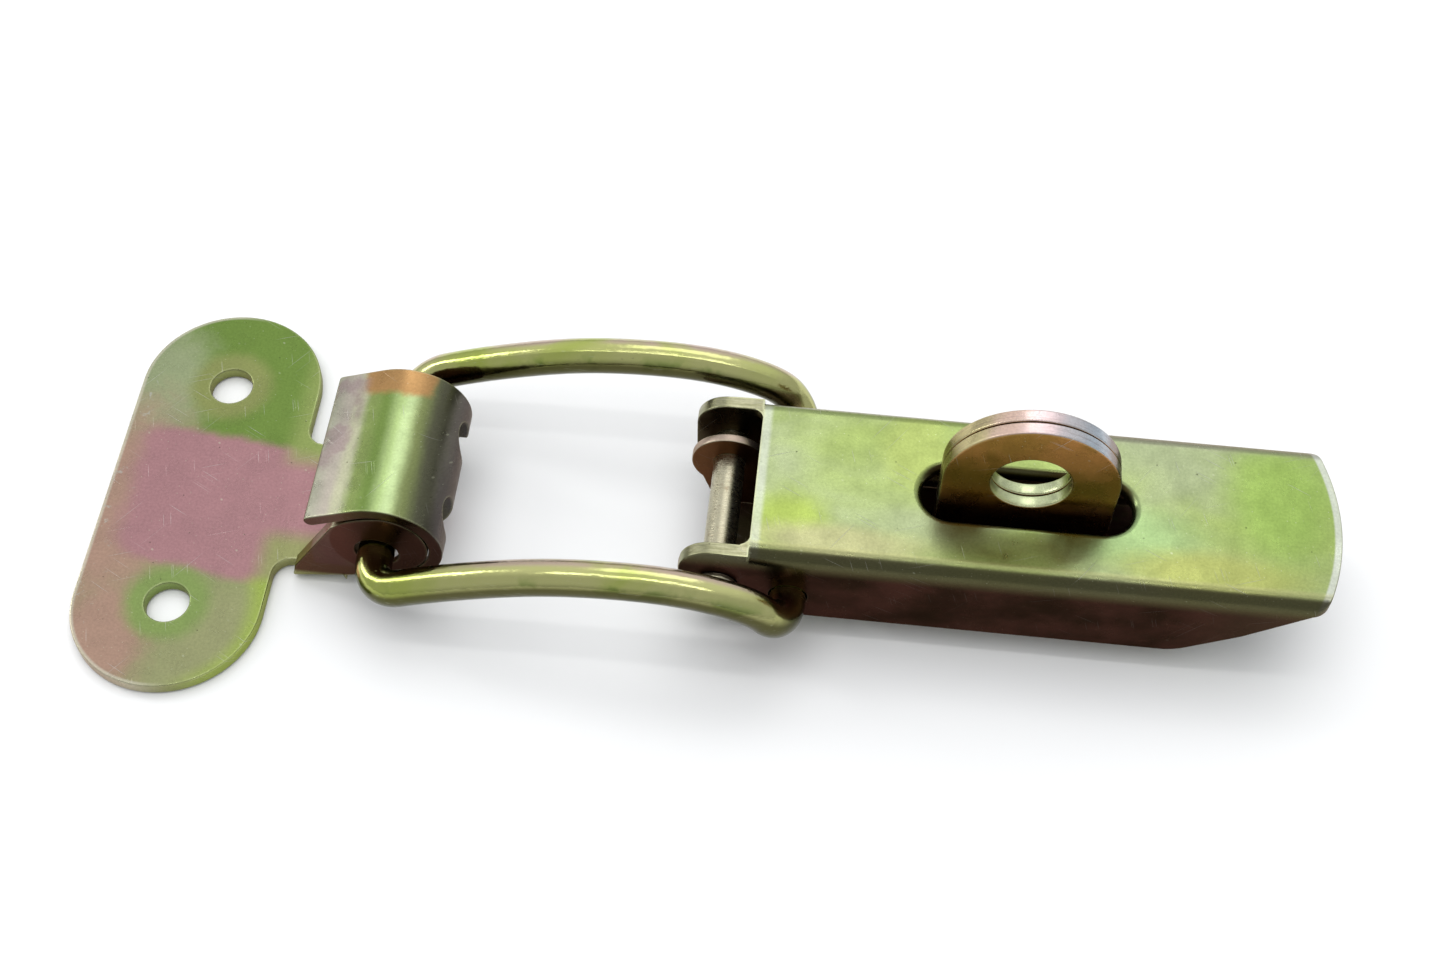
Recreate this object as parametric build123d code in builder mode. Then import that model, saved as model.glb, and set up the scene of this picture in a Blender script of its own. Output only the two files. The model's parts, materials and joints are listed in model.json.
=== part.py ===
# Toggle hasp with a wire bail and a padlock staple, closed and lying flat.
# Frame: X runs from the strike plate (left) to the lever tip, Y across, Z up.
# The origin is on the mounting surface, straight below the fulcrum pin.
import os
from math import cos, radians, sin

from build123d import *

os.makedirs("parts", exist_ok=True)

# ---- driving dimensions, mm ----
sheet = 1.5  # sheet gauge of the strike, lever and staple
wire_r = 2.0

pin_z = 8.6  # fulcrum height above the mounting surface
pin_r = 1.77
pin_head_r = 2.5
pin_head_t = 0.7

bar_x = -37.3  # cross bar of the bail, inside the strike ears
bar_z = 7.2
pivot_x = 7.9  # bail ends, in the lever side walls
pivot_z = 7.6
arm_y = 14.8  # half spacing of the bail arms
bar_bend = 4.0
end_bend = 3.6
stub_in = 8.95  # the bail ends stop just short of the inner wall
arm_rise = 24.0  # slope of the arms as they leave the bar, degrees
arm_fall = 52.0
arm_bow = [(-26.0, 11.7), (-17.5, 13.9), (-9.0, 14.6), (-1.0, 13.8)]

strike_x = -60.5  # line of the two strike screws
strike_pitch = 30.1
strike_lobe_r = 10.6
screw_r = 2.48
neck_half = 7.9
neck_fillet_r = 2.2
ear_out = 9.6  # outer face of the strike ears and end of the hook
ear_left = -47.6
fold_r = 1.3
fold_end = -41.5  # the ears stand free of the floor beyond this
ear_hole_r = 2.4
curl_x = -36.7  # axis of the hook curl
curl_z = 8.6
curl_r = 6.8  # outer radius of the curl
curl_tail = 22.0  # degrees past the top before the lip runs straight
lip_len = 5.3
ramp_x = -46.5  # the hook part rises from here to the curl
strip_half = 3.0  # half width of the strip joining hook and floor
notch_w = 4.2
notch_top = 10.9
horn_bottom = 6.4

lever_half = 10.4
lever_top = 15.0
lever_left = -4.0
lever_face_left = 3.4  # left edge of the top face, between the ears
lever_right = 66.1
lever_bottom = 3.8
lever_bend_r = 1.8
slot_x = 32.6
slot_len = 22.9
slot_w = 6.8
rim_r = 0.9

staple_x = 32.3
staple_w = 18.7
staple_round_z = 19.76
eye_z = 20.04
eye_r = 4.26
staple_gap = 0.1  # daylight between the two halves
foot_bend = 2.7
foot_out = 5.4
rivet_y = 4.1
rivet_pitch = 11.6
rivet_r = 1.0
rivet_head_r = 1.3
rivet_head_h = 0.9

base_sheet = 1.0  # the base is pressed from thinner sheet
base_half = 6.6
base_left = -1.2
base_right = 54.0
base_wall = 7.4  # height of the base side walls
base_ear_r = 4.25
base_ear_foot = 16.0
near_ear_out = 8.75  # the near ear is joggled out against the lever wall
near_ear_step = 2.6
base_screws = (15.0, 48.0)

running = 0.06  # radial clearance of the turning fits


def mirror_pairs(y):
    """Both signs of a distance from the centre plane."""
    return (-y, y)


# ---- strike plate: floor, ears and curled hook from one blank ----
def curl_point(radius, degrees):
    """Point of the hook section at an angle about the curl axis."""
    return (curl_x + radius * cos(radians(degrees)), curl_z + radius * sin(radians(degrees)))


ramp_angle = 9.0
curl_mid = curl_r - sheet / 2
ear_arc_r = curl_r - sheet - 0.15
with BuildPart() as strike_plate:
    # floor ramp, curl and lip as one band
    with BuildSketch(Plane.XZ):
        with BuildLine():
            foot = (ear_left + sheet / 2, sheet / 2)
            Line(foot, curl_point(curl_mid, ramp_angle - 90))
            ThreePointArc(curl_point(curl_mid, ramp_angle - 90), curl_point(curl_mid, 10),
                          curl_point(curl_mid, 90 + curl_tail))
            tail = radians(90 + curl_tail)
            tail_x, tail_z = curl_point(curl_mid, 90 + curl_tail)
            Line((tail_x, tail_z), (tail_x - lip_len * sin(tail), tail_z + lip_len * cos(tail)))
            offset(amount=sheet / 2, kind=Kind.ARC, side=Side.BOTH)
        make_face()
    extrude(amount=ear_out, both=True)

    # floor narrowed to the strip that runs into the curl
    with BuildSketch():
        for y in mirror_pairs((strip_half + ear_out + 1) / 2):
            with Locations(((fold_end + curl_x) / 2, y)):
                Rectangle(curl_x - fold_end, ear_out + 1 - strip_half)
    extrude(amount=4.5, mode=Mode.SUBTRACT)

    # screw plate with a short neck
    with BuildSketch() as screw_plate:
        with Locations((strike_x, 0)):
            SlotCenterToCenter(strike_pitch, 2 * strike_lobe_r, rotation=90)
        with Locations(((strike_x + ramp_x) / 2, 0)):
            Rectangle(ramp_x - strike_x, 2 * neck_half)
        neck_x = strike_x + strike_lobe_r
        fillet(screw_plate.vertices().filter_by_position(Axis.X, neck_x - 0.1, neck_x + 0.1)
               .filter_by_position(Axis.Y, -neck_half - 0.1, neck_half + 0.1), neck_fillet_r)
    extrude(amount=sheet)

    # side ears, standing on the ramp
    for side in (-1, 1):
        with BuildSketch(Plane.XZ.offset(-side * (ear_out - sheet / 2))):
            with BuildLine():
                brow = (curl_x - 5.2, curl_z + 2.7)
                crown = curl_point(ear_arc_r, 80)
                low = curl_point(ear_arc_r, -52)
                ThreePointArc(crown, curl_point(ear_arc_r, 10), low)
                Polyline(low, (fold_end, 1.7), (ear_left + sheet / 2, sheet / 2), (ear_left, sheet / 2),
                         (ear_left + 0.5, 2.8), brow)
                TangentArc(crown, brow, tangent=(-1, 0))
            make_face()
        extrude(amount=sheet / 2, both=True)
    # outside of the folds rounded
    fold_mid = (ear_left + fold_end) / 2
    fold_len = fold_end - ear_left
    along = (cos(radians(ramp_angle)), 0, sin(radians(ramp_angle)))
    fold_z = (fold_len / 2 - sheet / 2) * sin(radians(ramp_angle))
    with BuildSketch(Plane(origin=(fold_mid, 0, fold_z), x_dir=(0, 1, 0), z_dir=along)):
        for side in (-1, 1):
            with Locations((side * (ear_out - fold_r / 2), fold_r / 2)):
                Rectangle(fold_r, fold_r)
            with Locations((side * (ear_out - fold_r), fold_r)):
                Circle(fold_r, mode=Mode.SUBTRACT)
            with Locations((side * ear_out, -fold_r / 2)):
                Rectangle(2 * fold_r, fold_r)
    extrude(amount=fold_len / 2, both=True, mode=Mode.SUBTRACT)

    # relief notches that leave a horn at each end of the curl
    with BuildSketch(Plane.YZ.offset(curl_x)):
        for y in mirror_pairs(strip_half + notch_w / 2):
            with Locations((y, notch_top - notch_w / 2)):
                Circle(notch_w / 2)
            with Locations((y, (notch_top - notch_w / 2) / 2)):
                Rectangle(notch_w, notch_top - notch_w / 2)
        for y in mirror_pairs((strip_half + ear_out) / 2):
            with Locations((y, horn_bottom / 2)):
                Rectangle(ear_out - sheet - 0.1 - strip_half, horn_bottom)
    extrude(amount=curl_r + 1, mode=Mode.SUBTRACT)

    # screw holes and the cross-bar holes
    with Locations(*[(strike_x, y, sheet) for y in mirror_pairs(strike_pitch / 2)]):
        Hole(screw_r, depth=sheet)
    with BuildSketch(Plane.XZ):
        with Locations((bar_x, bar_z)):
            Circle(ear_hole_r)
    extrude(amount=ear_out + 1, both=True, mode=Mode.SUBTRACT)
strike_plate.part.label = "strike_plate"
export_step(strike_plate.part, "parts/strike_plate.step")

# ---- wire bail: one bent wire ----
across = Vector(0, 1, 0)
rise = Vector(cos(radians(arm_rise)), 0, sin(radians(arm_rise)))
fall = Vector(cos(radians(arm_fall)), 0, -sin(radians(arm_fall)))
diagonal = cos(radians(45))
with BuildPart() as wire_bail:
    with BuildLine() as bail_path:
        for side in (-1, 1):
            out = across * side
            # bend from the cross bar into the arm
            bar_end = Vector(bar_x, side * (arm_y - bar_bend), bar_z)
            bend_c = bar_end + rise * bar_bend
            arm_start = bend_c + out * bar_bend
            Line((bar_x, 0, bar_z), bar_end)
            ThreePointArc(bar_end, bend_c + (out - rise) * (bar_bend * diagonal), arm_start)
            # bend from the arm into the lever wall
            stub_start = Vector(pivot_x, side * (arm_y - end_bend), pivot_z)
            turn_c = stub_start - fall * end_bend
            arm_end = turn_c + out * end_bend
            ThreePointArc(arm_end, turn_c + (out + fall) * (end_bend * diagonal), stub_start)
            Line(stub_start, (pivot_x, side * stub_in, pivot_z))
            # bowed arm
            bow = [(x, side * arm_y, z) for x, z in arm_bow]
            Spline(arm_start, *bow, arm_end, tangents=[rise, fall])
    with BuildSketch(Plane(origin=(bar_x, 0, bar_z), z_dir=(0, 1, 0))):
        Circle(wire_r)
    sweep(path=bail_path.wires()[0])
wire_bail.part.label = "wire_bail"
export_step(wire_bail.part, "parts/wire_bail.step")

# ---- toggle lever: pressed channel with pierced ears ----
wall_y = lever_half - sheet / 2  # centre of each side wall
with BuildPart() as toggle_lever:
    # channel section along the whole length
    with BuildSketch(Plane.YZ.offset(lever_left)):
        with Locations((0, lever_top / 2)):
            outer = Rectangle(2 * lever_half, lever_top)
        fillet(outer.vertices().group_by(Axis.Y)[-1], lever_bend_r)
        with Locations((0, (lever_top - sheet) / 2)):
            Rectangle(2 * (lever_half - sheet), lever_top - sheet, mode=Mode.SUBTRACT)
    extrude(amount=lever_right - lever_left)
    # square-topped ears at the fulcrum end
    with Locations(*[((lever_left + lever_face_left) / 2, y, lever_top / 2) for y in mirror_pairs(wall_y)]):
        Box(lever_face_left - lever_left, sheet, lever_top)
    with BuildSketch(Plane.XY.offset(lever_top)):
        with Locations(((lever_left + lever_face_left) / 2, 0)):
            Rectangle(lever_face_left - lever_left, 2 * lever_half)
    extrude(amount=-0.3, mode=Mode.SUBTRACT)

    # side outline: round ears, straight lower edge, swept-up tip
    with BuildSketch(Plane.XZ) as side_outline:
        with BuildLine():
            Polyline(
                (lever_left, lever_bottom),
                (50.0, lever_bottom),
                (56.5, lever_bottom + 4.1),
                (62.8, lever_top - 1.9),
                (lever_right, lever_top - 1.5),
                (lever_right, lever_top),
                (lever_face_left, lever_top),
                (lever_face_left, lever_top - 0.3),
                (lever_left, lever_top - 0.3),
                close=True,
            )
        make_face()
        fillet(side_outline.vertices().group_by(Axis.X)[0], 3.6)
        bends = side_outline.vertices().filter_by_position(Axis.X, 49, 57)
        fillet(bends, 5.0)
    extrude(amount=lever_half, both=True, mode=Mode.INTERSECT)

    # plan outline: rounded tip
    with BuildSketch() as plan_outline:
        with BuildLine():
            tip_corner = lever_right - 2.2
            Polyline((tip_corner, -lever_half), (lever_left, -lever_half), (lever_left, lever_half),
                     (tip_corner, lever_half))
            ThreePointArc((tip_corner, lever_half), (lever_right, 0), (tip_corner, -lever_half))
        make_face()
        fillet(plan_outline.vertices().group_by(Axis.X)[-1], 2.0)
    extrude(amount=lever_top, mode=Mode.INTERSECT)

    # top face removed between the ears
    with BuildSketch(Plane.XY.offset(lever_top)) as mouth:
        with Locations(((lever_left + lever_face_left) / 2, 0)):
            Rectangle(lever_face_left - lever_left, 2 * (lever_half - sheet))
        fillet(mouth.vertices().group_by(Axis.X)[-1], 1.2)
    extrude(amount=-4, mode=Mode.SUBTRACT)

    # slot over the staple, its rim rolled down
    with BuildSketch(Plane.XY.offset(lever_top)):
        with Locations((slot_x, 0)):
            SlotOverall(slot_len, slot_w)
    extrude(amount=-sheet, mode=Mode.SUBTRACT)
    slot_left = slot_x - slot_len / 2
    top_edges = toggle_lever.edges().group_by(Axis.Z)[-1]
    fillet(top_edges.filter_by_position(Axis.X, slot_left - 0.1, slot_left + slot_len + 0.1)
           .filter_by(lambda e: abs(e.center().Y) < slot_w), rim_r)

    # fulcrum and bail holes
    with BuildSketch(Plane.XZ):
        with Locations((0, pin_z)):
            Circle(pin_r + running)
        with Locations((pivot_x, pivot_z)):
            Circle(wire_r + running)
    extrude(amount=lever_half + 1, both=True, mode=Mode.SUBTRACT)
toggle_lever.part.label = "toggle_lever"
export_step(toggle_lever.part, "parts/toggle_lever.step")

# ---- fulcrum pin with two peened heads ----
with BuildPart() as fulcrum_pin:
    head_y = lever_half + 0.1
    with BuildSketch(Plane.XZ):
        with Locations((0, pin_z)):
            Circle(pin_r)
    extrude(amount=head_y + pin_head_t / 2, both=True)
    for side in (-1, 1):
        with BuildSketch(Plane.XZ.offset(-side * (head_y + pin_head_t / 2))):
            with Locations((0, pin_z)):
                Circle(pin_head_r)
        extrude(amount=pin_head_t / 2, both=True)
    fillet(fulcrum_pin.faces().sort_by(Axis.Y)[0].edges(), 0.4)
    fillet(fulcrum_pin.faces().sort_by(Axis.Y)[-1].edges(), 0.4)
fulcrum_pin.part.label = "fulcrum_pin"
export_step(fulcrum_pin.part, "parts/fulcrum_pin.step")

# ---- base plate: a shallow channel with two upturned ears ----
base_mid = (base_left + base_right) / 2
base_ear_corner = base_ear_r * diagonal
rivet_spots = [(staple_x + x, y) for x in mirror_pairs(rivet_pitch / 2) for y in mirror_pairs(rivet_y)]
# each ear: outer face, thickness inwards, and the height it starts from
base_ears = [(base_half, -base_sheet, 0), (-near_ear_out, base_sheet, near_ear_step - base_sheet)]
with BuildPart() as base_plate:
    with BuildSketch() as floor_outline:
        with Locations((base_mid, 0)):
            Rectangle(base_right - base_left, 2 * base_half)
        fillet(floor_outline.vertices().group_by(Axis.X)[-1], 4.0)
    extrude(amount=base_sheet)
    # side walls
    wall_left = base_left + base_ear_foot - 4.0
    wall_right = base_right - 4.5
    for y in mirror_pairs(base_half - base_sheet / 2):
        with BuildSketch(Plane.XZ.offset(-y)):
            with BuildLine():
                Polyline((base_left, 0), (wall_right, 0), (wall_right, base_wall - 2.5), (wall_right - 2.5, base_wall),
                         (wall_left + 1.5, base_wall), (wall_left, near_ear_step), (base_left, near_ear_step),
                         close=True)
            make_face()
        extrude(amount=base_sheet / 2, both=True)
    # step that carries the joggled ear
    with Locations((base_left, -near_ear_out, near_ear_step - base_sheet)):
        Box(base_ear_foot - 2.0, near_ear_out - base_half + base_sheet, base_sheet, align=(Align.MIN,) * 3)
    # ears round the fulcrum
    for outer, inwards, foot in base_ears:
        with BuildSketch(Plane.XZ.offset(-outer - inwards / 2)):
            with Locations((0, pin_z)):
                Circle(base_ear_r)
            with BuildLine():
                Polyline((-base_ear_corner, pin_z - base_ear_corner), (base_left, foot),
                         (base_left + base_ear_foot - 2.0, foot), (base_left + base_ear_foot - 3.0, base_wall - 2.0),
                         (base_ear_corner, pin_z + base_ear_corner), close=True)
            make_face()
        extrude(amount=base_sheet / 2, both=True)
    with BuildSketch(Plane.XZ):
        with Locations((0, pin_z)):
            Circle(pin_r)
    extrude(amount=near_ear_out + 1, both=True, mode=Mode.SUBTRACT)
    with Locations(*[(x, 0, base_sheet) for x in base_screws]):
        Hole(screw_r, depth=base_sheet)
    with Locations(*[(x, y, base_sheet) for x, y in rivet_spots]):
        Hole(rivet_r, depth=base_sheet)
base_plate.part.label = "base_plate"
export_step(base_plate.part, "parts/base_plate.step")

# ---- padlock staple: two angle pieces back to back ----
staple_top = staple_round_z + staple_w / 2
for side, node in ((-1, "staple_front"), (1, "staple_rear")):
    with BuildPart() as half:
        # angle section, then the round top and the eye
        with BuildSketch(Plane.YZ.offset(staple_x)) as section:
            with BuildLine():
                web = side * (staple_gap / 2 + sheet)
                knee = base_sheet + sheet
                Polyline(
                    (side * staple_gap / 2, staple_top),
                    (side * staple_gap / 2, base_sheet),
                    (side * foot_out, base_sheet),
                    (side * foot_out, knee),
                    (web, knee),
                    (web, staple_top),
                    close=True,
                )
            make_face()
            inner_knee = section.vertices().sort_by_distance((staple_x, web, knee))[0]
            outer_knee = section.vertices().sort_by_distance((staple_x, side * staple_gap / 2, base_sheet))[0]
            fillet(inner_knee, foot_bend - sheet)
            fillet(outer_knee, foot_bend)
        extrude(amount=staple_w / 2, both=True)
        with BuildSketch(Plane.XZ):
            with Locations((staple_x, staple_round_z)):
                Circle(staple_w / 2)
            with Locations((staple_x, staple_round_z / 2)):
                Rectangle(staple_w, staple_round_z)
        extrude(amount=foot_out, both=True, mode=Mode.INTERSECT)
        with BuildSketch(Plane.XZ):
            with Locations((staple_x, eye_z)):
                Circle(eye_r)
        extrude(amount=4, both=True, mode=Mode.SUBTRACT)
        with Locations(*[(x, y, knee) for x, y in rivet_spots if y * side > 0]):
            Hole(rivet_r, depth=sheet)
    half.part.label = node
    export_step(half.part, "parts/" + node + ".step")

# ---- four rivets through feet and floor ----
with BuildPart() as staple_rivets:
    with Locations(*[(x, y, 0) for x, y in rivet_spots]):
        Cylinder(rivet_r, knee + 0.2, align=(Align.CENTER, Align.CENTER, Align.MIN))
    with Locations(*[(x, y, knee) for x, y in rivet_spots]):
        Cylinder(rivet_head_r, rivet_head_h, align=(Align.CENTER, Align.CENTER, Align.MIN))
    fillet(staple_rivets.edges().group_by(Axis.Z)[-1], 0.6)
staple_rivets.part.label = "staple_rivets"
export_step(staple_rivets.part, "parts/staple_rivets.step")
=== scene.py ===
"""Looks of the toggle hasp: pressed sheet and wire in yellow chromate over zinc."""
import json
import math

import bmesh
import bpy
from mathutils import Matrix, Vector


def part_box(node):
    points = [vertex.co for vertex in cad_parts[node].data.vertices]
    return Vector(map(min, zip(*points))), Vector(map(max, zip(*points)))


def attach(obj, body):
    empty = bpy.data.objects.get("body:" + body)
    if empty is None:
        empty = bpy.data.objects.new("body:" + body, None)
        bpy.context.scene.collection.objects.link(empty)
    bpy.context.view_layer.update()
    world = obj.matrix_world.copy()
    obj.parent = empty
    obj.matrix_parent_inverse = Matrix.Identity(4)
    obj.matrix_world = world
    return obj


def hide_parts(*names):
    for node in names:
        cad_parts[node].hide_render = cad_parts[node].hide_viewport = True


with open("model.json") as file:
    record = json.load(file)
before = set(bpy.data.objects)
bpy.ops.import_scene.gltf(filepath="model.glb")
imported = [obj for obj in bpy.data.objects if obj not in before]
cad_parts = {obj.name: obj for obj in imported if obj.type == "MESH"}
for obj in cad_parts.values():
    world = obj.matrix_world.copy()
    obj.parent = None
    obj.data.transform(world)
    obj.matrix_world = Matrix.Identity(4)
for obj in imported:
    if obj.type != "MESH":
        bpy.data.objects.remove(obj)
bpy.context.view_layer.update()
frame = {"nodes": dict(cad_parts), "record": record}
MM = 0.001


# ---- node helpers: every call makes one node and gives back its output ----
class Nodes:
    """A short way to write a material's nodes. Lengths inside it are in millimetres."""

    def __init__(self, name):
        self.mat = bpy.data.materials.new(name)
        self.mat.use_nodes = True
        self.tree = self.mat.node_tree
        self.tree.nodes.clear()
        self.out = self.tree.nodes.new("ShaderNodeOutputMaterial")
        coords = self.tree.nodes.new("ShaderNodeTexCoord")
        self.pos = self.vec("SCALE", coords.outputs["Object"], scale=1 / MM)
        split = self.tree.nodes.new("ShaderNodeSeparateXYZ")
        self.link(self.pos, split.inputs[0])
        self.x, self.y, self.z = split.outputs
        # a flat map that works on the top faces and on the walls alike
        join = self.tree.nodes.new("ShaderNodeCombineXYZ")
        self.link(self.x, join.inputs[0])
        self.link(self.math("ADD", self.y, self.z), join.inputs[1])
        self.sheet = join.outputs[0]
        self.normal = coords.outputs["Normal"]
        split = self.tree.nodes.new("ShaderNodeSeparateXYZ")
        self.link(self.normal, split.inputs[0])
        self.nx, self.ny, self.nz = split.outputs

    def link(self, source, socket):
        if isinstance(source, bpy.types.NodeSocket):
            self.tree.links.new(source, socket)
        else:
            socket.default_value = source

    def math(self, op, *values, clamp=False):
        node = self.tree.nodes.new("ShaderNodeMath")
        node.operation = op
        node.use_clamp = clamp
        for socket, value in zip(node.inputs, values):
            self.link(value, socket)
        return node.outputs[0]

    def vec(self, op, *values, scale=None):
        node = self.tree.nodes.new("ShaderNodeVectorMath")
        node.operation = op
        for socket, value in zip(node.inputs, values):
            self.link(value, socket)
        if scale is not None:
            node.inputs["Scale"].default_value = scale
        gives_number = op in ("LENGTH", "DISTANCE", "DOT_PRODUCT")
        return node.outputs["Value" if gives_number else "Vector"]

    def stretch(self, factors, vector=None):
        return self.vec("MULTIPLY", vector or self.pos, factors)

    def noise(self, vector, scale, detail=3.0, rough=0.55, distort=0.0):
        node = self.tree.nodes.new("ShaderNodeTexNoise")
        self.link(vector, node.inputs["Vector"])
        node.inputs["Scale"].default_value = scale
        node.inputs["Detail"].default_value = detail
        node.inputs["Roughness"].default_value = rough
        node.inputs["Distortion"].default_value = distort
        return node.outputs["Fac"]

    def step(self, value, low, high, to_low=0.0, to_high=1.0):
        node = self.tree.nodes.new("ShaderNodeMapRange")
        node.interpolation_type = "SMOOTHSTEP"
        for socket, item in zip(node.inputs, (value, low, high, to_low, to_high)):
            self.link(item, socket)
        return node.outputs[0]

    def ramp(self, value, stops):
        node = self.tree.nodes.new("ShaderNodeValToRGB")
        node.color_ramp.interpolation = "EASE"
        items = node.color_ramp.elements
        while len(items) < len(stops):
            items.new(0.5)
        for item, (place, colour) in zip(items, stops):
            item.position = place
            item.color = (*colour, 1)
        self.link(value, node.inputs[0])
        return node.outputs[0]

    def mix(self, factor, a, b, blend="MIX"):
        node = self.tree.nodes.new("ShaderNodeMix")
        node.data_type = "RGBA"
        node.blend_type = blend
        self.link(factor, node.inputs["Factor"])
        for socket, value in ((node.inputs[6], a), (node.inputs[7], b)):
            self.link((*value, 1) if isinstance(value, tuple) else value, socket)
        return node.outputs[2]

    def near(self, point, low, high, flat=(1, 1, 1)):
        """1 at a point, falling to 0 between two distances; flat squashes the axes."""
        place = self.vec("MULTIPLY", self.vec("SUBTRACT", self.pos, point), flat)
        return self.step(self.vec("LENGTH", place), low, high, 1.0, 0.0)

    def edges(self, radius):
        """1 along sharp edges, from the bevel of the normal."""
        bevel = self.tree.nodes.new("ShaderNodeBevel")
        bevel.samples = 6
        bevel.inputs["Radius"].default_value = radius * MM
        geometry = self.tree.nodes.new("ShaderNodeNewGeometry")
        same = self.vec("DOT_PRODUCT", bevel.outputs[0], geometry.outputs["Normal"])
        return self.step(same, 0.995, 0.90, 0.0, 1.0)

    def spots(self, reach, length, width, share, turn=0.0):
        """Separate marks of a length and width, one kept for a share of the cells they fall in.

        reach is the length of a cell; round marks have equal length and width."""
        node = self.tree.nodes.new("ShaderNodeVectorRotate")
        node.rotation_type = "Z_AXIS"
        self.link(self.sheet, node.inputs["Vector"])
        node.inputs["Angle"].default_value = turn
        spread = 1.0 / reach
        placed = self.stretch((spread, spread * length / width, 0.0), node.outputs[0])
        cells = self.tree.nodes.new("ShaderNodeTexVoronoi")
        cells.voronoi_dimensions = "2D"
        self.link(placed, cells.inputs["Vector"])
        cells.inputs["Scale"].default_value = 1.0
        split = self.tree.nodes.new("ShaderNodeSeparateColor")
        self.link(cells.outputs["Color"], split.inputs[0])
        kept = self.step(split.outputs[0], 1.0 - share, 1.001 - share)
        half = 0.5 * length * spread
        mark = self.step(cells.outputs["Distance"], half * 0.5, half, 1.0, 0.0)
        strength = self.step(split.outputs[1], 0.0, 1.0, 0.3, 1.0)
        return self.math("MULTIPLY", mark, self.math("MULTIPLY", kept, strength))

    def finish(self, colour, rough, height, depth, metallic=1.0, tint=(1, 1, 1)):
        shader = self.tree.nodes.new("ShaderNodeBsdfPrincipled")
        self.link(colour, shader.inputs["Base Color"])
        self.link(rough, shader.inputs["Roughness"])
        shader.inputs["Metallic"].default_value = metallic
        shader.inputs["Specular Tint"].default_value = (*tint, 1)
        bump = self.tree.nodes.new("ShaderNodeBump")
        bump.inputs["Strength"].default_value = 1.0
        bump.inputs["Distance"].default_value = depth * MM
        self.link(height, bump.inputs["Height"])
        self.link(bump.outputs[0], shader.inputs["Normal"])
        self.link(shader.outputs[0], self.out.inputs["Surface"])
        return self.mat


# ---- colours of the chromate film, with two dark ones that are painted shade ----
LIME = (0.31, 0.39, 0.125)
GREEN = (0.175, 0.27, 0.062)
SAGE = (0.33, 0.38, 0.21)
KHAKI = (0.33, 0.34, 0.17)
ROSE = (0.43, 0.28, 0.21)
MAUVE = (0.42, 0.225, 0.235)
# painted shade: dark plum and brown for faces turned away from the light
PLUM_SHADE = (0.030, 0.009, 0.007)
BROWN_SHADE = (0.012, 0.005, 0.003)
BRONZE = (0.42, 0.20, 0.060)
BARE = (0.62, 0.61, 0.58)
# pale edge wear, partly a painted highlight on the rims
RIM_WEAR_AND_HIGHLIGHT = (0.60, 0.62, 0.36)
FILM_TINT = (0.72, 0.64, 0.58)  # film seen at a low angle turns warm


def film_material(name, paint, gloss=0.30, rim=0.75):
    """Chromate on sheet: a painted film colour, then grain, specks, pits, scratches and rims that are partly
    worn pale and partly a painted highlight.
    """
    n = Nodes(name)
    colour = paint(n)
    grain = n.noise(n.sheet, 3.2, 4, 0.7)
    shade = n.ramp(grain, [(0.25, (0.80, 0.80, 0.80)), (0.75, (1.0, 1.0, 1.0))])
    colour = n.mix(1.0, colour, shade, "MULTIPLY")
    split = n.tree.nodes.new("ShaderNodeSeparateColor")
    n.link(colour, split.inputs[0])
    light = n.step(split.outputs[1], 0.02, 0.16, 0.12, 1.0)
    specks = n.math("MAXIMUM", n.spots(0.9, 0.16, 0.16, 0.22), n.spots(3.4, 0.42, 0.30, 0.10, 0.7))
    colour = n.mix(n.math("MULTIPLY", specks, n.math("MULTIPLY", light, 0.38)), colour, (0.60, 0.62, 0.46))
    pits = n.spots(2.6, 0.24, 0.24, 0.13, 1.1)
    colour = n.mix(n.math("MULTIPLY", pits, 0.65), colour, (0.05, 0.045, 0.03))
    scratch = n.spots(9.0, 3.4, 0.055, 0.035, 0.5)
    for reach, length, share, turn in (
        (14.0, 5.5, 0.020, 2.2), (7.0, 2.2, 0.040, 1.3), (11.0, 4.0, 0.016, 2.8),
    ):
        scratch = n.math("MAXIMUM", scratch, n.spots(reach, length, 0.05, share, turn))
    colour = n.mix(n.math("MULTIPLY", scratch, n.math("MULTIPLY", light, 0.62)), colour, BARE)
    # edges: pale wear, partly a painted highlight along the rims
    worn = n.math("MULTIPLY", n.edges(0.42), n.step(n.noise(n.pos, 0.35, 3), 0.30, 0.60, 0.45, 1.0))
    worn = n.math("MULTIPLY", worn, n.math("MULTIPLY", light, rim))
    colour = n.mix(worn, colour, RIM_WEAR_AND_HIGHLIGHT)
    rough = n.step(n.noise(n.pos, 0.3, 4), 0.3, 0.7, gloss - 0.05, gloss + 0.08)
    rough = n.math("ADD", rough, n.math("MULTIPLY", n.math("MAXIMUM", scratch, pits), 0.12))
    rolled = n.noise(n.stretch((1.0, 0.3, 1.0), n.sheet), 3.0, 5, 0.6)
    waves = n.noise(n.pos, 0.12, 2)
    height = n.math("ADD", n.math("MULTIPLY", rolled, 0.08), n.math("MULTIPLY", waves, 1.8))
    height = n.math("SUBTRACT", height, n.math("MULTIPLY", n.math("MAXIMUM", scratch, pits), 0.10))
    return n.finish(colour, rough, height, 0.10, tint=FILM_TINT)


def cloudy(n, mask, size=0.35, strength=0.5, soft=0.34):
    """A soft mask with a ragged border."""
    ragged = n.math("MULTIPLY", n.math("SUBTRACT", n.noise(n.pos, size, 5, 0.65, 0.6), 0.5), strength)
    return n.step(n.math("ADD", mask, ragged), 0.46 - soft, 0.46 + soft)


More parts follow.
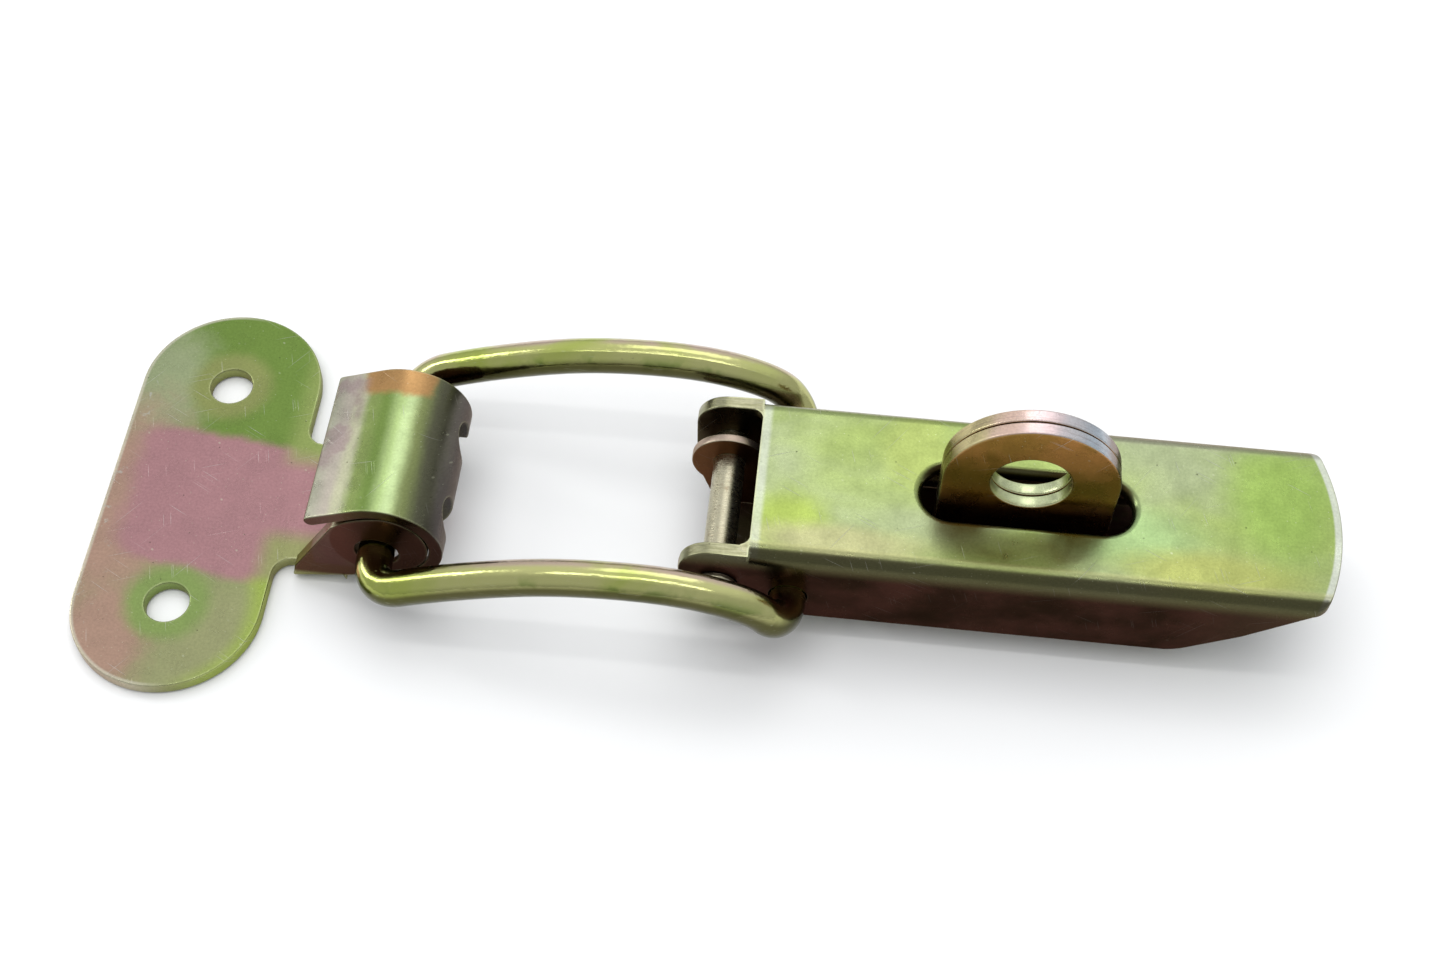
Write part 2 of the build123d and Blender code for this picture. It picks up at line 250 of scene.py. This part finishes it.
# ---- strike: mauve middle, green far lobe, khaki near lobe, banded hook with painted highlight and shade, ears painted dark as shade ----
LOBE_RADIUS = 10.6
PLATE_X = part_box("strike_plate")[0][0] / MM + LOBE_RADIUS  # line of the two screw holes
HOLE_Y = 15.05
CURL_LEFT, CURL_RIGHT = -45.0, -29.9
CURL_AXIS = (-36.7, 0, 8.6)
COPPER_X = -37.2
EAR_Y = 9.2  # middle of the folded ears' thickness
NECK_Y = 7.9


def strike_paint(n):
    # far lobe green, near lobe olive to khaki, middle mauve
    colour = n.mix(n.step(n.y, 2.0, -16.0), GREEN, KHAKI)
    colour = n.mix(cloudy(n, n.near((PLATE_X - 8.5, 13.5, 0), 0.0, 11.0, (1, 0.6, 0))), colour, SAGE)
    colour = n.mix(cloudy(n, n.near((PLATE_X - 9.0, -3.0, 0), 0.0, 14.0, (1, 0.55, 0)), 0.3), colour, ROSE)
    colour = n.mix(cloudy(n, n.near((PLATE_X - 6.5, -20.5, 0), 0.0, 10.5, (1, 0.8, 0)), 0.3), colour, ROSE)
    # the mauve field has straight sides that lean with the plate's rolling
    lean = n.math("ADD", n.y, n.math("MULTIPLY", n.math("SUBTRACT", n.x, PLATE_X), 0.12))
    field = n.math("MULTIPLY", n.step(lean, 10.2, 5.6), n.step(lean, -12.6, -8.0))
    field = n.math("MULTIPLY", field, n.step(n.x, PLATE_X - 13.0, PLATE_X - 3.0))
    colour = n.mix(cloudy(n, field, 0.22, 0.5, 0.26), colour, MAUVE)
    # lime halos round the screw holes
    for y, tint in ((-HOLE_Y, (0.25, 0.34, 0.11)), (HOLE_Y, (0.28, 0.31, 0.11))):
        halo = cloudy(n, n.near((PLATE_X, y, 0), 2.0, 7.2, (1, 1, 0)), 0.5, 0.3)
        colour = n.mix(halo, colour, tint)
    neck_side = n.step(n.math("ABSOLUTE", n.y), 3.5, 6.5)
    neck = n.math("MULTIPLY", n.step(n.x, PLATE_X + 7.5, PLATE_X + 10.5), neck_side)
    colour = n.mix(n.math("MULTIPLY", neck, 0.8), colour, (0.30, 0.36, 0.12))
    rim = n.near((PLATE_X, -HOLE_Y - 0.5, 0), 8.2, 11.0, (1, 1, 0))
    right = n.math("MULTIPLY", n.step(n.x, PLATE_X + 1.0, PLATE_X + 7.0), n.step(n.y, -10.0, -12.0))
    colour = n.mix(n.math("MULTIPLY", n.math("SUBTRACT", 1.0, rim), right), colour, (0.36, 0.46, 0.10))
    # painted highlight: a bright line along the outer rim
    beyond = n.math("MAXIMUM", n.math("SUBTRACT", n.math("ABSOLUTE", n.y), HOLE_Y), 0.0)
    aside = n.math("SUBTRACT", n.x, PLATE_X)
    squares = n.math("ADD", n.math("MULTIPLY", beyond, beyond), n.math("MULTIPLY", aside, aside))
    radius = n.math("SQRT", squares)
    highlight_line = n.math("MULTIPLY", n.step(radius, 10.05, 10.35), n.step(aside, 3.0, -2.0))
    colour = n.mix(n.math("MULTIPLY", highlight_line, 0.65), colour, (0.66, 0.62, 0.50))
    # pale smudges on the outer edge
    outer = n.step(n.x, PLATE_X - 6.5, PLATE_X - 9.5)
    smudge = n.math("MULTIPLY", n.step(n.noise(n.pos, 0.55, 4, 0.7, 0.6), 0.60, 0.68), outer)
    colour = n.mix(n.math("MULTIPLY", smudge, 0.6), colour, (0.50, 0.50, 0.44))
    # the hook: bands of film along the curl; the bright band near the crest is partly a painted highlight
    # and the dark end on the curl's right side partly painted shade
    across = n.math("DIVIDE", n.math("SUBTRACT", n.x, CURL_LEFT), CURL_RIGHT - CURL_LEFT)
    wobble = n.math("MULTIPLY", n.math("SUBTRACT", n.noise(n.stretch((1.0, 0.35, 1.0)), 0.30, 3), 0.5), 0.10)
    film_and_light_bands = n.ramp(n.math("ADD", across, wobble), [
        (0.03, (0.42, 0.42, 0.32)), (0.18, (0.50, 0.45, 0.38)), (0.27, (0.56, 0.56, 0.38)),
        (0.35, (0.28, 0.36, 0.12)), (0.46, (0.21, 0.31, 0.08)), (0.56, (0.38, 0.50, 0.20)),
        (0.63, (0.44, 0.55, 0.27)), (0.74, (0.24, 0.28, 0.11)), (0.84, (0.14, 0.14, 0.09)),
        (1.0, (0.11, 0.10, 0.10))])
    from_crest = n.math("ABSOLUTE", n.math("SUBTRACT", n.x, COPPER_X))
    far = n.math("MULTIPLY", n.step(n.y, 4.6, 8.2), n.step(from_crest, 5.2, 2.6))
    film_and_light_bands = n.mix(cloudy(n, far, 0.45, 0.6, 0.25), film_and_light_bands, (0.47, 0.27, 0.11))
    violet = n.math("MULTIPLY", n.step(n.x, -39.8, -41.5), n.step(n.noise(n.pos, 0.20, 3), 0.50, 0.62))
    film_and_light_bands = n.mix(n.math("MULTIPLY", violet, 0.6), film_and_light_bands, (0.36, 0.26, 0.27))
    hook = n.math("MULTIPLY", n.step(n.x, -44.9, -44.4), n.step(n.z, 3.4, 4.2))
    colour = n.mix(hook, colour, film_and_light_bands)
    # painted shade on the inside of the curl
    curl_inside_shade = n.near(CURL_AXIS, 5.4, 5.7, (1, 0, 1))
    colour = n.mix(n.math("MULTIPLY", curl_inside_shade, n.step(n.z, 2.5, 4.0)), colour, (0.09, 0.07, 0.04))
    # folded ears: outer faces painted dark plum and brown as shade
    side = n.step(n.math("ABSOLUTE", n.ny), 0.6, 0.9)
    ear = n.math("MULTIPLY", side, n.step(n.z, 1.0, 2.2))
    low = n.step(n.x, -41.0, -38.0)
    ear_painted_shade = n.mix(low, (0.070, 0.022, 0.018), PLUM_SHADE)
    outside = n.step(n.math("ABSOLUTE", n.y), 9.2, 9.5)
    return n.mix(n.math("MULTIPLY", n.math("MULTIPLY", ear, outside), 0.94), colour, ear_painted_shade)


# ---- lever: sage and lime top, near wall painted dark brown as shade, olive cut edges ----
lever_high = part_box("toggle_lever")[1]
LEVER_TOP = lever_high[2] / MM
TIP_RADIUS = 25.7
TIP_CENTRE = lever_high[0] / MM - TIP_RADIUS
FOLD_Y = 8.75  # where the top face turns into the near wall
WALL_IN = 8.9  # inner face of the lever's walls
EAR_FACE_LEFT = 3.4  # left edge of the top face, between the ears


def lever_paint(n):
    drift = n.noise(n.stretch((0.6, 1.0, 1.0)), 0.07, 3, 0.5, 0.5)
    colour = n.mix(n.step(drift, 0.35, 0.65), LIME, SAGE)
    for place, size, shape, tint in (  # drifts of film over the top face
        ((7.5, -5.5, 0), 7.5, (1, 1.1, 0), (0.34, 0.43, 0.10)),
        ((20.5, 5.0, 0), 8.0, (1.2, 0.9, 0), (0.35, 0.42, 0.13)),
        ((43.0, -3.8, 0), 11.0, (0.8, 1.5, 0), (0.33, 0.46, 0.20)),
        ((52.0, -7.4, 0), 9.0, (0.5, 1.8, 0), (0.38, 0.41, 0.13)),
        ((12.5, -7.6, 0), 6.5, (0.4, 1.7, 0), (0.40, 0.40, 0.20)),
        ((60.0, 3.0, 0), 10.0, (1, 0.7, 0), (0.28, 0.40, 0.10)),
    ):
        patch = cloudy(n, n.near(place, 0.0, size, shape), 0.16, 0.4, 0.4)
        colour = n.mix(patch, colour, tint)
    pink = n.math("MULTIPLY", n.step(n.y, 8.3, 9.6), n.step(n.x, 34.0, 40.0))
    colour = n.mix(n.math("MULTIPLY", pink, 0.7), colour, (0.36, 0.33, 0.27))
    # pale rims: a pale band on the left edge, and painted highlights along the far fold and the tip's rolled
    # edge
    left_rim = n.step(n.x, 4.7, 4.1)
    far_fold_highlight = n.math("MULTIPLY", n.step(n.y, 9.3, 9.9), n.step(n.x, 40.0, 34.0))
    tip_edge_highlight = n.step(n.near((TIP_CENTRE, 0, 0), TIP_RADIUS - 1.0, TIP_RADIUS - 0.6, (1, 1, 0)), 1.0, 0.0)
    tip_edge_highlight = n.math("MULTIPLY", tip_edge_highlight, n.step(n.x, TIP_CENTRE, TIP_CENTRE + 10.0))
    rims = n.math("MAXIMUM", n.math("MULTIPLY", left_rim, 0.6), n.math("MAXIMUM", far_fold_highlight, tip_edge_highlight))
    colour = n.mix(n.math("MULTIPLY", rims, 0.8), colour, (0.62, 0.64, 0.58))
    # painted dull reflection below the slot, then painted shade on the long near fold, with a painted
    # highlight line along the fold
    low_slot_reflection = n.near((31.0, -5.2, 0), 0.6, 10.0, (0.75, 4.2, 0))
    colour = n.mix(n.math("MULTIPLY", low_slot_reflection, 0.18), colour, (0.13, 0.14, 0.05))
    fold_shade = n.step(n.ny, -0.06, -0.50)
    colour = n.mix(n.math("MULTIPLY", fold_shade, 0.92), colour, (0.075, 0.066, 0.034))
    highlight_line = n.step(n.math("ABSOLUTE", n.math("ADD", n.y, FOLD_Y)), 0.55, 0.05)
    colour = n.mix(n.math("MULTIPLY", highlight_line, 0.45), colour, (0.44, 0.43, 0.20))
    # walls: the near wall painted dark brown as shade, varied by random stains; the far wall in film colours
    near_wall_shade = n.math("MULTIPLY", n.step(n.ny, -0.45, -0.85), n.step(n.z, LEVER_TOP - 0.6, LEVER_TOP - 2.2))
    stain = n.noise(n.stretch((0.7, 1.0, 1.0)), 0.13, 4, 0.6)
    tint = n.mix(n.step(stain, 0.38, 0.70), BROWN_SHADE, (0.050, 0.018, 0.014))
    tint = n.mix(n.step(n.x, 48.0, 62.0), tint, (0.050, 0.028, 0.018))
    tint = n.mix(n.step(n.z, LEVER_TOP - 3.2, LEVER_TOP - 1.4), tint, (0.075, 0.064, 0.030))
    colour = n.mix(near_wall_shade, colour, tint)
    back = n.math("MULTIPLY", n.step(n.ny, 0.5, 0.85), n.step(n.z, LEVER_TOP - 1.0, LEVER_TOP - 3.0))
    back_tint = n.mix(n.step(stain, 0.4, 0.6), (0.20, 0.19, 0.09), (0.24, 0.14, 0.13))
    colour = n.mix(n.math("MULTIPLY", back, 0.8), colour, back_tint)
    # painted shade on the inner faces of the walls, below the top
    below_top = n.step(n.z, LEVER_TOP - 0.9, LEVER_TOP - 1.2)
    inside_shade = n.math("MULTIPLY", n.step(n.math("ABSOLUTE", n.y), WALL_IN + 0.08, WALL_IN - 0.02), below_top)
    colour = n.mix(n.math("MULTIPLY", inside_shade, 0.9), colour, (0.070, 0.055, 0.030))
    # cut edges of the ears
    ears = n.math("MULTIPLY", n.step(n.x, 3.7, 3.1), n.step(n.nz, 0.35, 0.75))
    fibres = n.noise(n.stretch((0.4, 4.0, 1.0)), 1.6, 3)
    cut = n.mix(n.step(fibres, 0.3, 0.7), (0.24, 0.23, 0.12), (0.42, 0.40, 0.25))
    return n.mix(n.math("MULTIPLY", ears, 0.9), colour, cut)


# ---- staple: bronze face with painted shade towards the slot, rainbow edge, bore painted lit and shaded ----
staple_low, staple_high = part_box("staple_front")
EYE_LEFT = staple_low[0] / MM
EYE_WIDE = (staple_high[0] - staple_low[0]) / MM
EYE_Z = 20.04  # height of the padlock hole's axis


def staple_paint(n):
    face = n.step(n.math("ABSOLUTE", n.ny), 0.6, 0.95)
    warm = n.noise(n.pos, 0.18, 3, 0.5, 0.3)
    tint = n.mix(n.step(warm, 0.35, 0.65), BRONZE, (0.28, 0.155, 0.034))
    glow = n.near((EYE_LEFT + EYE_WIDE * 0.45, 0, 15.8), 1.0, 5.5, (0.55, 0, 1.4))
    tint = n.mix(glow, tint, (0.40, 0.18, 0.030))
    # painted shade: the face darker towards the bottom, near the slot
    tint = n.mix(n.step(n.z, 16.8, 15.0, 0.0, 0.65), tint, (0.130, 0.050, 0.014))
    rear = n.mix(n.step(warm, 0.35, 0.65), (0.30, 0.27, 0.12), (0.36, 0.24, 0.18))
    tint = n.mix(n.step(n.ny, 0.2, 0.8), tint, rear)
    place = n.math("DIVIDE", n.math("SUBTRACT", n.x, EYE_LEFT), EYE_WIDE)
    wobble = n.math("MULTIPLY", n.math("SUBTRACT", n.noise(n.pos, 0.4, 3), 0.5), 0.16)
    film_and_light_bands = n.ramp(n.math("ADD", place, wobble), [
        (0.0, (0.40, 0.36, 0.18)), (0.14, (0.62, 0.54, 0.28)), (0.30, (0.78, 0.56, 0.46)),
        (0.50, (0.74, 0.58, 0.58)), (0.68, (0.62, 0.60, 0.62)), (0.80, (0.62, 0.70, 0.78)),
        (0.92, (0.40, 0.36, 0.35)), (1.0, (0.18, 0.16, 0.15))])
    streaks = n.noise(n.stretch((0.15, 5.0, 0.15)), 1.3, 3, 0.6)
    film_and_light_bands = n.mix(n.step(streaks, 0.52, 0.66, 0.0, 0.35), film_and_light_bands, (0.30, 0.22, 0.20))
    # the bore: its lower wall painted pale as lit, its upper wall brown as painted shade
    bore = n.near((EYE_LEFT + EYE_WIDE / 2, 0, EYE_Z), 4.6, 4.9, (1, 0, 1))
    bore_light_and_shade = n.mix(n.step(n.z, 17.5, 22.0), (0.62, 0.68, 0.40), (0.40, 0.20, 0.10))
    film_and_light_bands = n.mix(bore, film_and_light_bands, bore_light_and_shade)
    colour = n.mix(face, film_and_light_bands, tint)
    # painted shade: everything below the lever's top, inside the slot, dark brown
    return n.mix(n.step(n.z, 14.6, 12.8), colour, (0.110, 0.055, 0.022))


# ---- base: upturned ears painted dark bronze and floor painted dark olive, as shade under the lever ----
def base_paint(n):
    # painted shade: the floor under the lever in dark olive
    blotch = n.noise(n.pos, 0.12, 3, 0.5, 0.5)
    colour = n.mix(n.step(blotch, 0.35, 0.65), (0.13, 0.12, 0.055), (0.15, 0.095, 0.070))
    outside = n.step(n.noise(n.stretch((0.5, 1.0, 1.0)), 0.14, 4, 0.6, 0.5), 0.38, 0.60)
    face = n.step(n.math("ABSOLUTE", n.ny), 0.6, 0.95)
    tint = n.mix(outside, (0.24, 0.235, 0.105), (0.26, 0.15, 0.12))
    # painted shade: the ear faces dark bronze towards the left end, inside the lever
    tint = n.mix(n.step(n.x, 11.0, 5.0), tint, (0.13, 0.050, 0.020))
    colour = n.mix(n.math("MULTIPLY", face, 0.92), colour, tint)
    rims = n.math("MULTIPLY", n.step(n.z, 6.6, 7.2), n.step(face, 0.7, 0.3))
    colour = n.mix(rims, colour, (0.46, 0.36, 0.29))
    return n.mix(n.step(n.nz, -0.5, -0.9), colour, SAGE)


# ---- wire: glossy lime with pink crests and drawn lines, underside painted dark as shade ----
def wire_material():
    n = Nodes("zinc_wire_drawn")
    cloud = n.noise(n.stretch((0.8, 1.0, 1.0)), 0.10, 3, 0.5, 0.5)
    colour = n.mix(n.step(cloud, 0.3, 0.6), (0.40, 0.47, 0.10), (0.52, 0.52, 0.22))
    back = n.math("ADD", n.math("MULTIPLY", n.nz, 0.6), n.math("MULTIPLY", n.ny, 0.8))
    pink = n.math("MULTIPLY", n.step(cloud, 0.40, 0.58), n.step(back, 0.55, 0.85))
    colour = n.mix(n.math("MULTIPLY", pink, 0.80), colour, (0.55, 0.40, 0.36))
    green = n.math("MULTIPLY", n.step(n.noise(n.pos, 0.22, 3), 0.52, 0.62), n.step(n.nz, 0.95, 0.4))
    colour = n.mix(n.math("MULTIPLY", green, 0.7), colour, (0.16, 0.26, 0.04))
    # painted shade: the underside of the wire dark
    underside_shade = n.step(n.nz, 0.72, 0.28)
    colour = n.mix(n.math("MULTIPLY", underside_shade, 0.93), colour, (0.055, 0.050, 0.018))
    drawn = n.noise(n.stretch((0.12, 2.2, 2.2)), 2.0, 4, 0.65)
    colour = n.mix(n.step(drawn, 0.60, 0.75, 0.0, 0.30), colour, (0.60, 0.62, 0.45))
    nicks = n.step(n.noise(n.pos, 1.4, 3, 0.7), 0.69, 0.74)
    colour = n.mix(n.math("MULTIPLY", nicks, 0.5), colour, (0.10, 0.09, 0.04))
    rough = n.step(n.noise(n.pos, 0.5, 4), 0.3, 0.7, 0.09, 0.19)
    rough = n.math("ADD", rough, n.math("MULTIPLY", nicks, 0.25))
    height = n.math("ADD", n.math("MULTIPLY", drawn, 0.22), n.math("MULTIPLY", n.noise(n.pos, 0.25, 2), 1.6))
    return n.finish(colour, rough, height, 0.06)


# ---- plain steel of the pin and rivets ----
def steel_material():
    n = Nodes("plain_steel_turned")
    cloud = n.noise(n.pos, 0.5, 3)
    colour = n.mix(cloud, (0.42, 0.38, 0.26), (0.52, 0.49, 0.36))
    stains = n.step(n.noise(n.pos, 0.9, 4, 0.7), 0.56, 0.68)
    colour = n.mix(n.math("MULTIPLY", stains, 0.45), colour, (0.22, 0.14, 0.08))
    turned = n.noise(n.stretch((1.0, 6.0, 1.0)), 1.6, 3)
    worn = n.edges(0.35)
    colour = n.mix(n.math("MULTIPLY", worn, 0.4), colour, (0.75, 0.72, 0.66))
    rough = n.step(turned, 0.3, 0.7, 0.24, 0.38)
    return n.finish(colour, rough, turned, 0.02)


MATERIALS = {
    "strike_plate": film_material("zinc_plate_strike", strike_paint, 0.30),
    "toggle_lever": film_material("zinc_plate_lever", lever_paint, 0.30, 0.55),
    "staple_front": film_material("zinc_plate_staple", staple_paint, 0.26, 0.4),
    "base_plate": film_material("zinc_plate_base", base_paint, 0.34, 0.5),
    "wire_bail": wire_material(),
    "fulcrum_pin": steel_material(),
}
MATERIALS["staple_rear"] = MATERIALS["staple_front"]
MATERIALS["staple_rivets"] = MATERIALS["fulcrum_pin"]

for node, obj in frame["nodes"].items():
    obj.data.materials.clear()
    obj.data.materials.append(MATERIALS[node])


# ---- edges: each pressed part is shown by a copy whose sheared edges are rounded in the mesh ----
BODIES = {
    node: body for body, nodes in frame["record"]["behaviour"]["bodies"].items() for node in nodes
}
WELD_MM = 0.003
FLAT_ANGLE = math.radians(0.6)  # faces that meet at less than this become one
EDGE_ANGLE = math.radians(32)  # edges that turn more than this are rounded
SHADE_ANGLE = math.radians(38)


def round_edges(node, width, corners=()):
    """Shows a node by a copy of its mesh with rounded edges of a width in millimetres.

    corners holds (x, y, z, reach): edges that end within reach of such a point stay sharp."""
    bm = bmesh.new()
    bm.from_mesh(frame["nodes"][node].data)
    bmesh.ops.remove_doubles(bm, verts=bm.verts, dist=WELD_MM * MM)
    bmesh.ops.dissolve_limit(bm, angle_limit=FLAT_ANGLE, verts=bm.verts[:], edges=bm.edges[:])
    crowded = {v for v in bm.verts for x, y, z, reach in corners
               if (v.co / MM - Vector((x, y, z))).length < reach}
    sharp = [e for e in bm.edges if len(e.link_faces) == 2 and e.calc_face_angle() > EDGE_ANGLE
             and not crowded.intersection(e.verts)]
    bmesh.ops.bevel(bm, geom=sharp, offset=width * MM, segments=3, profile=0.5, affect="EDGES")
    for face in bm.faces:
        face.smooth = True
    mesh = bpy.data.meshes.new(node + "_rounded")
    bm.to_mesh(mesh)
    bm.free()
    if "custom_normal" in mesh.attributes:
        mesh.attributes.remove(mesh.attributes["custom_normal"])
    mesh.set_sharp_from_angle(angle=SHADE_ANGLE)
    mesh.materials.clear()
    mesh.materials.append(MATERIALS[node])
    piece = bpy.data.objects.new(node + "_rounded", mesh)
    bpy.context.collection.objects.link(piece)
    weighted = piece.modifiers.new("even_normals", "WEIGHTED_NORMAL")
    weighted.keep_sharp = True
    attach(piece, BODIES[node])
    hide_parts(node)


strike_corners = [(-41.5, y, 0.5, 1.3) for y in (-EAR_Y, EAR_Y)]
strike_corners += [(-47.0, y, 0.7, 1.4) for y in (-NECK_Y, NECK_Y)]
lever_corners = [(EAR_FACE_LEFT, y, LEVER_TOP, 0.8) for y in (-10.2, -WALL_IN, WALL_IN, 10.2)]
round_edges("strike_plate", 0.16, strike_corners)
round_edges("toggle_lever", 0.14, lever_corners)
round_edges("staple_front", 0.22)
round_edges("staple_rear", 0.22)
round_edges("base_plate", 0.12)


# ---- floor, just below the object so that the two never share a plane ----
bpy.ops.mesh.primitive_plane_add(size=6.0, location=(0, 0, -0.0002))
floor = bpy.context.object
floor.name = "floor"
n = Nodes("floor_paper")
paper = n.noise(n.pos, 0.02, 4)
white = n.mix(paper, (0.86, 0.86, 0.86), (0.90, 0.90, 0.90))
floor.data.materials.append(n.finish(white, 0.9, n.noise(n.pos, 1.0, 3), 0.01, metallic=0.0))


# ---- light ----
def area_light(name, place, size, power):
    """A rectangular lamp in watts, aimed at the origin."""
    data = bpy.data.lights.new(name, "AREA")
    data.shape = "RECTANGLE"
    data.size, data.size_y = size
    data.energy = power
    lamp = bpy.data.objects.new(name, data)
    lamp.location = place
    lamp.rotation_euler = (-Vector(place)).to_track_quat("-Z", "Y").to_euler()
    bpy.context.collection.objects.link(lamp)


area_light("softbox", (0.05, 0.55, 0.80), (0.5, 0.4), 0.75)
area_light("side_strip", (-0.70, 0.25, 0.40), (0.12, 0.6), 1.2)
area_light("overhead_strip", (0.0, -0.06, 1.0), (0.9, 0.05), 0.9)
area_light("floor_fill", (0.0, 0.0, 1.1), (1.2, 1.2), 5.6)
bpy.data.objects["floor_fill"].visible_glossy = False


def studio(low, high, spread, facing):
    """A soft studio: the room brightens smoothly from low to high towards one large panel.

    spread holds the cosines of the angle from facing where the glow starts and where it is full."""
    world = bpy.data.worlds.new("studio")
    world.use_nodes = True
    tree = world.node_tree
    tree.nodes.clear()
    coords = tree.nodes.new("ShaderNodeTexCoord")
    dot = tree.nodes.new("ShaderNodeVectorMath")
    dot.operation = "DOT_PRODUCT"
    dot.inputs[1].default_value = Vector(facing).normalized()
    tree.links.new(coords.outputs["Generated"], dot.inputs[0])
    glow = tree.nodes.new("ShaderNodeMapRange")
    glow.interpolation_type = "SMOOTHSTEP"
    tree.links.new(dot.outputs["Value"], glow.inputs[0])
    for socket, value in zip(glow.inputs[1:5], (spread[0], spread[1], low, high)):
        socket.default_value = value
    back = tree.nodes.new("ShaderNodeBackground")
    back.inputs[0].default_value = (0.96, 0.98, 1.0, 1)
    tree.links.new(glow.outputs[0], back.inputs[1])
    out = tree.nodes.new("ShaderNodeOutputWorld")
    tree.links.new(back.outputs[0], out.inputs[0])
    return world


bpy.context.scene.world = studio(0.60, 1.0, (0.45, 0.92), (0.0, 0.56, 0.82))
bpy.context.scene.view_settings.view_transform = "Standard"

# ---- camera: heading from +Y, dip below level and roll, in radians ----
heading, dip, roll = -0.07845, 0.97507, 0.02725
aim = Vector((math.sin(heading) * math.cos(dip), math.cos(heading) * math.cos(dip), -math.sin(dip)))
level = Vector((math.cos(heading), -math.sin(heading), 0))
above = level.cross(aim)
right = level * math.cos(roll) + above * math.sin(roll)
up = above * math.cos(roll) - level * math.sin(roll)
camera_data = bpy.data.cameras.new("camera")
camera_data.sensor_width = 36.0
camera_data.lens = 49.47
camera_data.clip_start = 0.005
camera_place = (0.00927, -0.12148, 0.19163)
camera = bpy.data.objects.new("camera", camera_data)
bpy.context.collection.objects.link(camera)
turn = Matrix(((right.x, up.x, -aim.x), (right.y, up.y, -aim.y), (right.z, up.z, -aim.z)))
camera.matrix_world = Matrix.Translation(camera_place) @ turn.to_4x4()
bpy.context.scene.camera = camera
